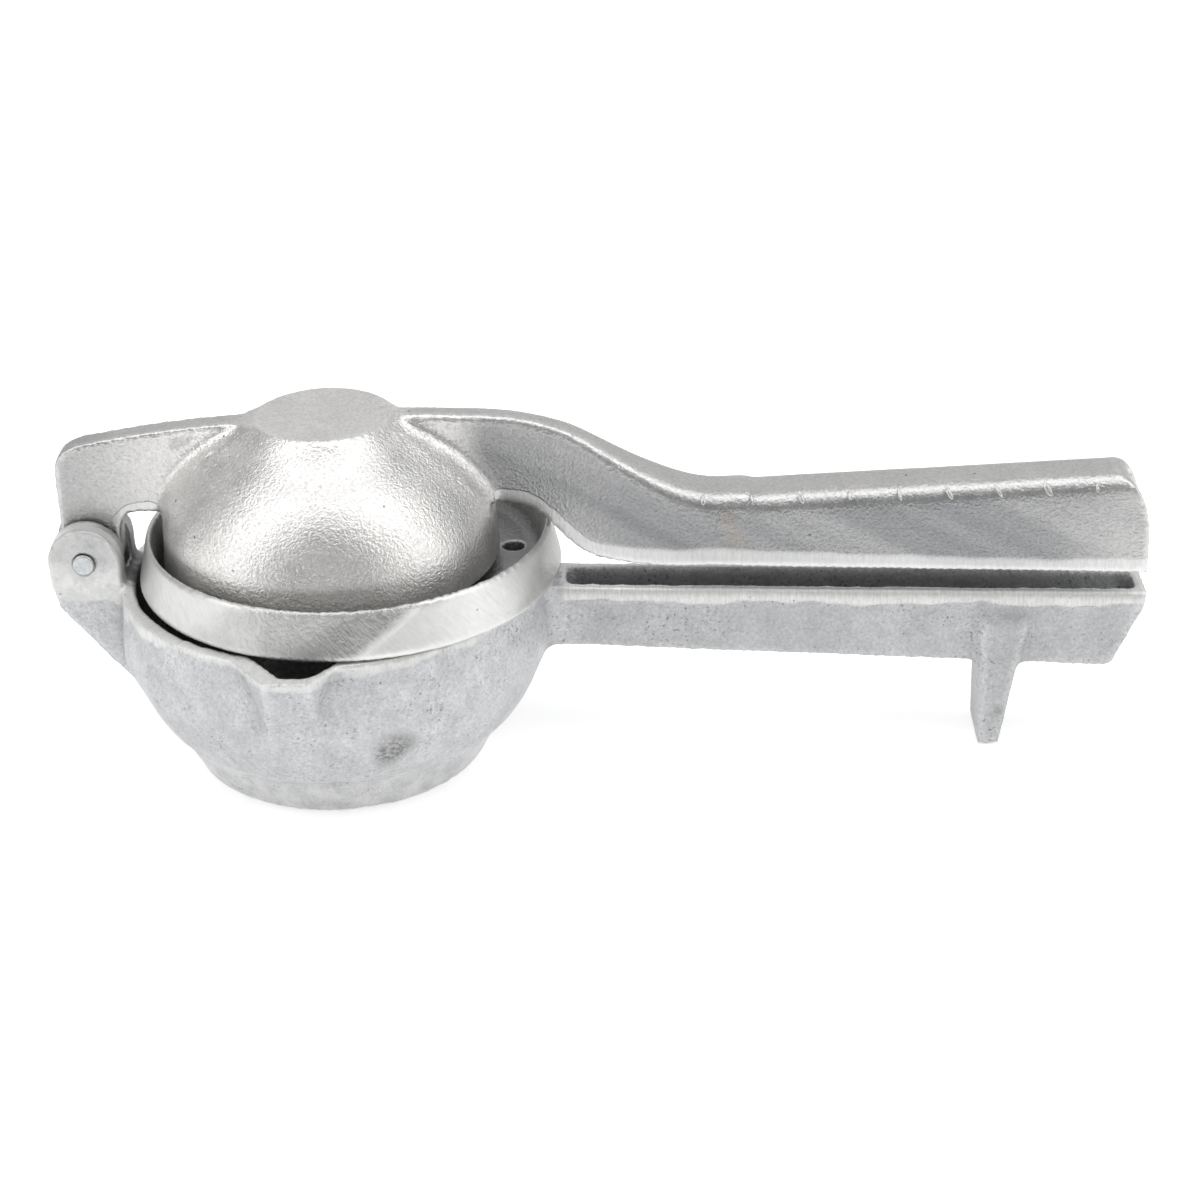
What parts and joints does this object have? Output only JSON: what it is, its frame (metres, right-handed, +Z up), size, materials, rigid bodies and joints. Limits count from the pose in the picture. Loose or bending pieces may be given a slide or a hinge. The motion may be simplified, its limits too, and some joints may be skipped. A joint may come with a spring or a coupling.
{
  "type": "hinged lemon squeezer",
  "caption": "Cast aluminium lemon squeezer: a press lever hinged over a lift-out strainer in a bowl with a pouring beak, a foot and a trough handle on a leg.",
  "frame": {"origin": "centre of the foot's flat underside, on the table", "axes": "+Z up, +X towards the free ends of the handles, -Y towards the pouring beak"},
  "size_m": [0.2377, 0.102, 0.08],
  "materials": {
    "bowl_casting": "sand cast and tumbled, matt, with fine pores",
    "strainer_casting": "sand cast, linished round the ring",
    "lever_casting": "sand cast, grainy, linished along its lower edge",
    "pin_steel": "ground and peened ends"
  },
  "bodies": {
    "base": {"base_casting": "bowl_casting", "strainer_insert": "strainer_casting", "hinge_pin": "pin_steel"},
    "lever": {"press_lever": "lever_casting"}
  },
  "joints": [
    {"name": "lever_hinge", "type": "hinge", "parent": "base", "child": "lever", "pos_m": [-0.0522, 0, 0.0492], "axis": [0, -1, 0], "range_deg": [0, 105]}
  ]
}
